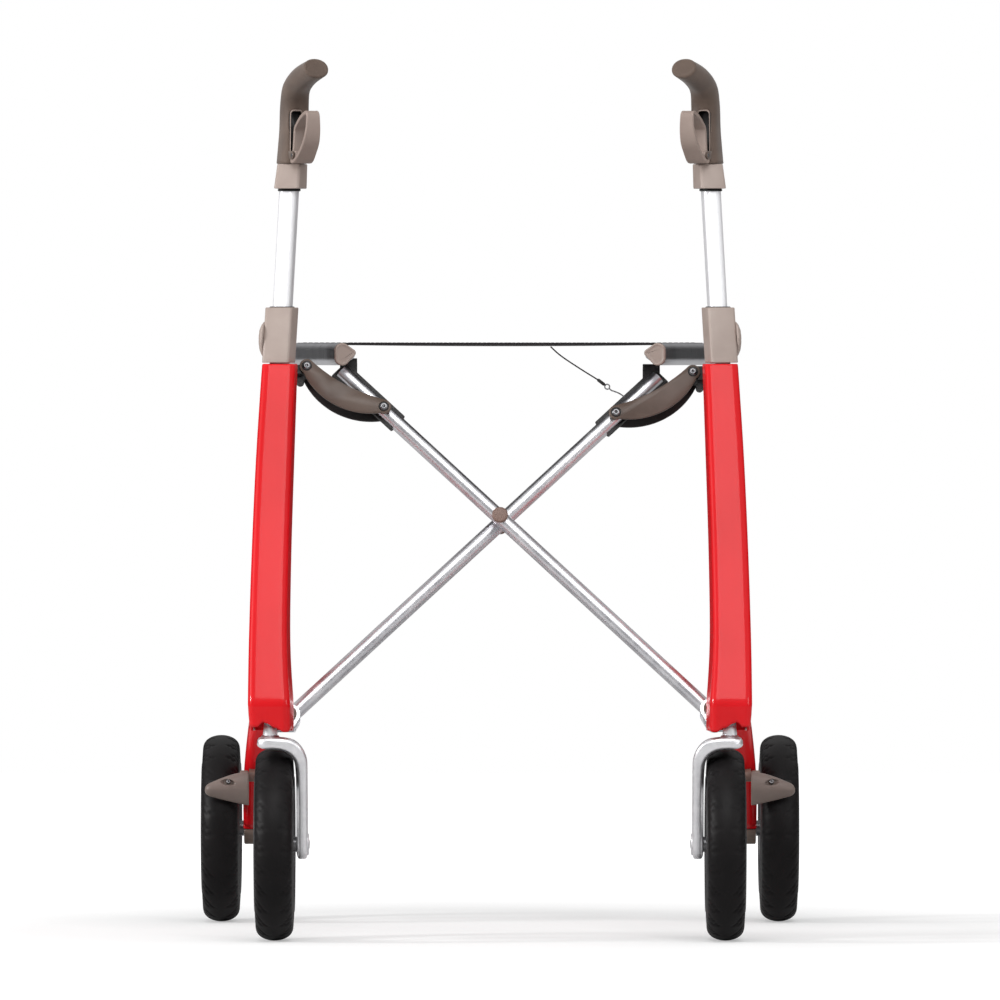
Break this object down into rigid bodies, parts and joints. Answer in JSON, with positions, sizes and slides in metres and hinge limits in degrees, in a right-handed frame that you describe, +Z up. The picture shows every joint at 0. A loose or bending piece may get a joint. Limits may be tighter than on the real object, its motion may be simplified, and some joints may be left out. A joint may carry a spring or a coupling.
{
  "type": "rollator walker",
  "caption": "Folding walking frame with moulded side frames, a crossed tube brace, fabric seat, height-adjustable loop-brake handles and swivelling front wheels.",
  "frame": {"origin": "on the floor, midway between the wheels and between the two sides", "axes": "+Z up, the front of the rollator faces -Y, +X to the right of a viewer in front"},
  "size_m": [0.6396, 0.65, 0.9183],
  "materials": {
    "carbon_shell": "gloss",
    "taupe_plastic": "satin",
    "soft_grip": "matte",
    "silver_tube": "satin",
    "cast_silver": "satin",
    "bronze_plate": "satin",
    "black_plastic": "matte",
    "steel": "satin",
    "tyre_rubber": "matte",
    "wheel_grey": "satin",
    "seat_fabric": "woven"
  },
  "bodies": {
    "left_frame": {"left_side_frame": "carbon_shell", "left_leg_cap": "taupe_plastic", "left_rear_axle": "steel", "left_castor_bearings": "steel", "left_brake_cable": "black_plastic", "left_height_clamp": "taupe_plastic", "left_frame_hardware": "black_plastic", "left_brace_lug": "cast_silver", "left_link_bracket": "black_plastic"},
    "left_handle": {"left_handle_tube": "silver_tube", "left_handle_collar": "taupe_plastic", "left_grip": "soft_grip", "left_handle_hardware": "black_plastic"},
    "left_lever": {"left_brake_lever": "taupe_plastic"},
    "left_knob": {"left_height_knob": "taupe_plastic"},
    "left_brake": {"left_brake_arm": "taupe_plastic"},
    "left_castor": {"left_fork": "cast_silver", "left_fork_stem": "steel", "left_front_axle": "steel"},
    "left_front_wheel": {"left_front_tyre": "tyre_rubber", "left_front_wheel_hub": "wheel_grey"},
    "left_rear_wheel": {"left_rear_tyre": "tyre_rubber", "left_rear_wheel_hub": "wheel_grey"},
    "left_link_arm": {"left_link": "bronze_plate"},
    "right_frame": {"right_side_frame": "carbon_shell", "right_leg_cap": "taupe_plastic", "right_rear_axle": "steel", "right_castor_bearings": "steel", "right_brake_cable": "black_plastic", "right_height_clamp": "taupe_plastic", "right_frame_hardware": "black_plastic", "right_brace_lug": "cast_silver", "right_link_bracket": "black_plastic"},
    "right_handle": {"right_handle_tube": "silver_tube", "right_handle_collar": "taupe_plastic", "right_grip": "soft_grip", "right_handle_hardware": "black_plastic"},
    "right_lever": {"right_brake_lever": "taupe_plastic"},
    "right_knob": {"right_height_knob": "taupe_plastic"},
    "right_brake": {"right_brake_arm": "taupe_plastic"},
    "right_castor": {"right_fork": "cast_silver", "right_fork_stem": "steel", "right_front_axle": "steel"},
    "right_front_wheel": {"right_front_tyre": "tyre_rubber", "right_front_wheel_hub": "wheel_grey"},
    "right_rear_wheel": {"right_rear_tyre": "tyre_rubber", "right_rear_wheel_hub": "wheel_grey"},
    "right_link_arm": {"right_link": "bronze_plate"},
    "brace_a": {"brace_a_tube": "silver_tube", "hub_bolt": "bronze_plate", "right_rail_saddle": "black_plastic", "right_seat_rail": "silver_tube", "right_rail_caps": "taupe_plastic", "seat": "seat_fabric", "lanyard": "black_plastic"},
    "brace_b": {"brace_b_tube": "silver_tube", "left_rail_saddle": "black_plastic", "left_seat_rail": "silver_tube", "left_rail_caps": "taupe_plastic"}
  },
  "joints": [
    {"name": "fold", "type": "hinge", "parent": "left_frame", "child": "brace_a", "pos_m": [-0.219, -0.20856, 0.23417], "axis": [0, -0.9397, 0.342], "range_deg": [0, 37.7], "deforming": ["seat", "lanyard"]},
    {"name": "cross_hub", "type": "hinge", "parent": "brace_a", "child": "brace_b", "pos_m": [0, -0.13547, 0.435], "axis": [0, -0.9397, 0.342], "range_deg": [-76, 0]},
    {"name": "right_brace_foot", "type": "hinge", "parent": "brace_b", "child": "right_frame", "pos_m": [0.219, -0.20856, 0.23417], "axis": [0, -0.9397, 0.342], "range_deg": [0, 38]},
    {"name": "left_link_swing", "type": "hinge", "parent": "left_frame", "child": "left_link_arm", "pos_m": [-0.2025, -0.07941, 0.58902], "axis": [0, -0.9397, 0.342], "range_deg": [0, 118]},
    {"name": "right_link_swing", "type": "hinge", "parent": "right_frame", "child": "right_link_arm", "pos_m": [0.2025, -0.07941, 0.58902], "axis": [0, -0.9397, 0.342], "range_deg": [-118, 0]},
    {"name": "left_handle_height", "type": "slide", "parent": "left_frame", "child": "left_handle", "axis": [0.0469, 0.3416, 0.9387], "range_m": [-0.115, 0.05]},
    {"name": "left_brake_squeeze", "type": "hinge", "parent": "left_handle", "child": "left_lever", "pos_m": [-0.21115, -0.07066, 0.818], "axis": [-0.9397, -0.342, 0], "range_deg": [0, 12], "stiffness_Nm_per_rad": 0.6},
    {"name": "left_height_release", "type": "slide", "parent": "left_frame", "child": "left_knob", "axis": [-0.9781, 0.2079, 0], "range_m": [0, 0.006], "stiffness_N_per_m": 600},
    {"name": "left_brake_press", "type": "hinge", "parent": "left_frame", "child": "left_brake", "pos_m": [-0.272, 0.132, 0.1595], "axis": [1, 0, 0], "range_deg": [0, 7]},
    {"name": "left_castor_swivel", "type": "hinge", "parent": "left_frame", "child": "left_castor", "pos_m": [-0.238, -0.263, 0.225], "axis": [0, 0, 1], "continuous": true},
    {"name": "left_front_wheel_spin", "type": "hinge", "parent": "left_castor", "child": "left_front_wheel", "pos_m": [-0.2342, -0.225, 0.1], "axis": [1, 0, 0], "continuous": true},
    {"name": "left_rear_wheel_spin", "type": "hinge", "parent": "left_frame", "child": "left_rear_wheel", "pos_m": [-0.299, 0.225, 0.1], "axis": [1, 0, 0], "continuous": true},
    {"name": "right_handle_height", "type": "slide", "parent": "right_frame", "child": "right_handle", "axis": [-0.0469, 0.3416, 0.9387], "range_m": [-0.115, 0.05]},
    {"name": "right_brake_squeeze", "type": "hinge", "parent": "right_handle", "child": "right_lever", "pos_m": [0.21115, -0.07066, 0.818], "axis": [-0.9397, 0.342, 0], "range_deg": [0, 12], "stiffness_Nm_per_rad": 0.6},
    {"name": "right_height_release", "type": "slide", "parent": "right_frame", "child": "right_knob", "axis": [0.9781, 0.2079, 0], "range_m": [0, 0.006], "stiffness_N_per_m": 600},
    {"name": "right_brake_press", "type": "hinge", "parent": "right_frame", "child": "right_brake", "pos_m": [0.272, 0.132, 0.1595], "axis": [1, 0, 0], "range_deg": [0, 7]},
    {"name": "right_castor_swivel", "type": "hinge", "parent": "right_frame", "child": "right_castor", "pos_m": [0.238, -0.263, 0.225], "axis": [0, 0, 1], "continuous": true},
    {"name": "right_front_wheel_spin", "type": "hinge", "parent": "right_castor", "child": "right_front_wheel", "pos_m": [0.2342, -0.225, 0.1], "axis": [1, 0, 0], "continuous": true},
    {"name": "right_rear_wheel_spin", "type": "hinge", "parent": "right_frame", "child": "right_rear_wheel", "pos_m": [0.299, 0.225, 0.1], "axis": [1, 0, 0], "continuous": true}
  ],
  "couplings": [
    {"joint": "left_brake_press", "follows": "left_brake_squeeze", "ratio": 0.58},
    {"joint": "right_brake_press", "follows": "right_brake_squeeze", "ratio": 0.58},
    {"joint": "cross_hub", "follows": "fold", "ratio": -2},
    {"joint": "right_brace_foot", "follows": "fold", "ratio": 1},
    {"joint": "left_link_swing", "follows": "fold", "ratio": 3.122},
    {"joint": "right_link_swing", "follows": "fold", "ratio": -3.122}
  ]
}
